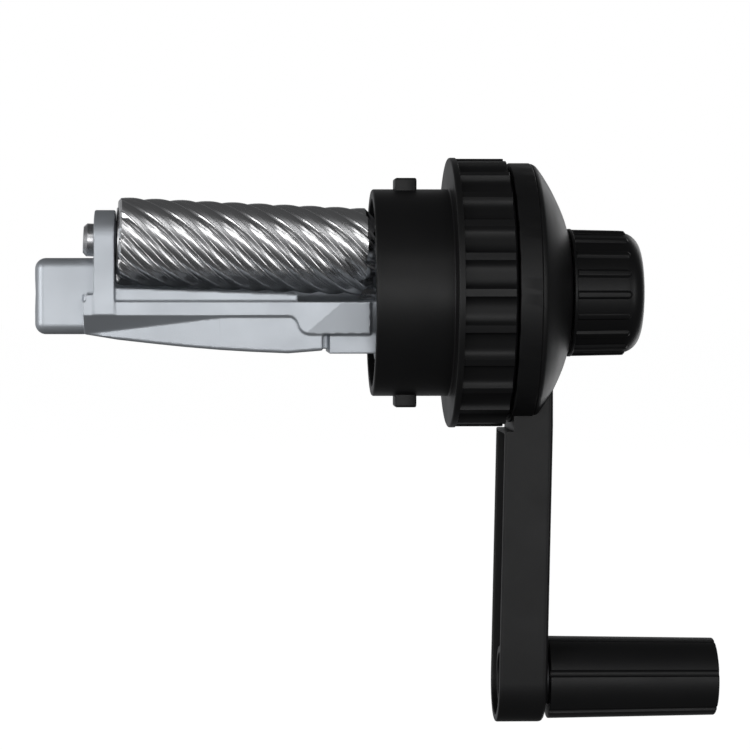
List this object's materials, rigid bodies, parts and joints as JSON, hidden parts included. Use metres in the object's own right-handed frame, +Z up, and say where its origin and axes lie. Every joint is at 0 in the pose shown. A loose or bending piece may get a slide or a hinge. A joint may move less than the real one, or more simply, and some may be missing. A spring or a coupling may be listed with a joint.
{
  "type": "pencil sharpener crank and cutter unit",
  "caption": "Crank unit of a desk pencil sharpener: a bayonet barrel with an internal gear, a carrier with a helical cutter, a crank with a grip and a point-setting knob.",
  "frame": {"origin": "centre of the seating face of the grip ring, on the main axis, where the unit meets the sharpener's case", "axes": "+X along the main axis, from the pencil's side towards the crank and knob; +Z up, with the crank hanging along -Z at rest; +Y follows by the right-hand rule"},
  "size_m": [0.1009, 0.0402, 0.0843],
  "materials": {
    "black_moulding": "satin moulded plastic",
    "knob_moulding": "satin moulded plastic",
    "grip_moulding": "satin moulded plastic",
    "gear_nylon": "moulded nylon",
    "die_cast": "fine blasted die casting",
    "cutter_steel": "ground and hardened",
    "steel": "turned",
    "bronze": "sintered"
  },
  "bodies": {
    "housing": {"barrel_housing": "black_moulding", "ring_gear": "gear_nylon", "bearing_plate": "black_moulding", "plate_screws": "steel", "shaft_bush": "bronze"},
    "rotor": {"cutter_carrier": "die_cast", "cutter_axle": "steel", "axle_set_screw": "steel", "cutter_washers": "steel", "drive_shaft": "steel", "crank_nut": "steel", "crank": "black_moulding", "click_spring": "steel", "click_ball": "steel", "grip_bolt": "steel", "grip_nut": "steel", "grip_washer": "steel", "stop_key": "steel", "stop_spring": "steel"},
    "cutter": {"helical_cutter": "cutter_steel", "cutter_sleeve": "bronze", "cutter_pinion": "steel"},
    "knob": {"adjust_knob": "knob_moulding", "adjust_screw": "steel"},
    "stop": {"point_stop": "steel"},
    "grip": {"handle_grip": "grip_moulding"}
  },
  "joints": [
    {"name": "crank_turn", "type": "hinge", "parent": "housing", "child": "rotor", "pos_m": [0, 0, 0], "axis": [1, 0, 0], "continuous": true},
    {"name": "cutter_spin", "type": "hinge", "parent": "rotor", "child": "cutter", "pos_m": [-0.0491, -0.00655, 0.00754], "axis": [0.9953, 0.088, -0.041], "continuous": true},
    {"name": "knob_turn", "type": "hinge", "parent": "rotor", "child": "knob", "pos_m": [0.0179, 0, 0], "axis": [1, 0, 0], "range_deg": [0, 240]},
    {"name": "stop_slide", "type": "slide", "parent": "rotor", "child": "stop", "axis": [-1, 0, 0], "range_m": [0, 0.003], "deforming": ["stop_spring"]},
    {"name": "grip_spin", "type": "hinge", "parent": "rotor", "child": "grip", "pos_m": [0.0148, 0, -0.0575], "axis": [1, 0, 0], "continuous": true}
  ],
  "couplings": [
    {"joint": "cutter_spin", "follows": "crank_turn", "ratio": -2.4},
    {"joint": "stop_slide", "follows": "knob_turn", "m_per_rad": 0.000716}
  ]
}
